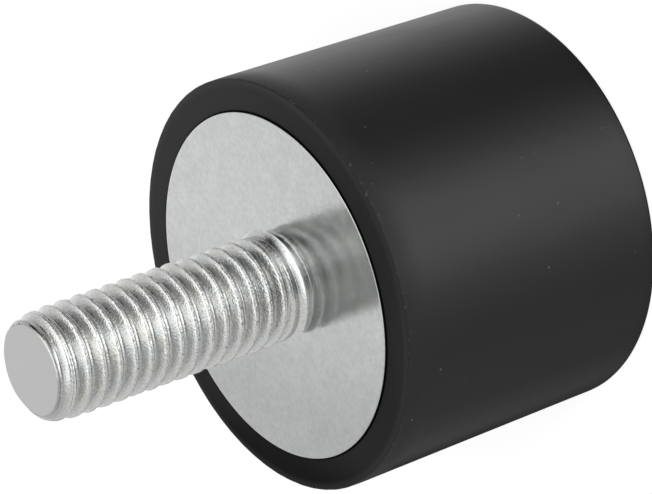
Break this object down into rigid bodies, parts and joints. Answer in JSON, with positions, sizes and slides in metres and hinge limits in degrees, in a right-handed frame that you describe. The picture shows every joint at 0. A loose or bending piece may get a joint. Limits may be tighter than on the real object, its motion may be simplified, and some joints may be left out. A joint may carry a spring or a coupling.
{
  "type": "rubber buffer",
  "caption": "Cylindrical rubber buffer with a steel end plate bonded in one face and a threaded stud; the other end is plain rubber.",
  "frame": {"origin": "middle of the plain rubber end, which it stands on", "axes": "+Z along the axis of the body, from the plain rubber end towards the tip of the stud"},
  "size_m": [0.03, 0.03, 0.0426],
  "materials": {
    "black_rubber": "moulded, matt to satin",
    "zinc_plate": "bright zinc on stamped sheet, soft mirror",
    "zinc_stud": "bright zinc on a rolled thread, fine grain"
  },
  "bodies": {
    "root": {"rubber_body": "black_rubber", "end_plate": "zinc_plate", "threaded_stud": "zinc_stud"}
  },
  "joints": []
}
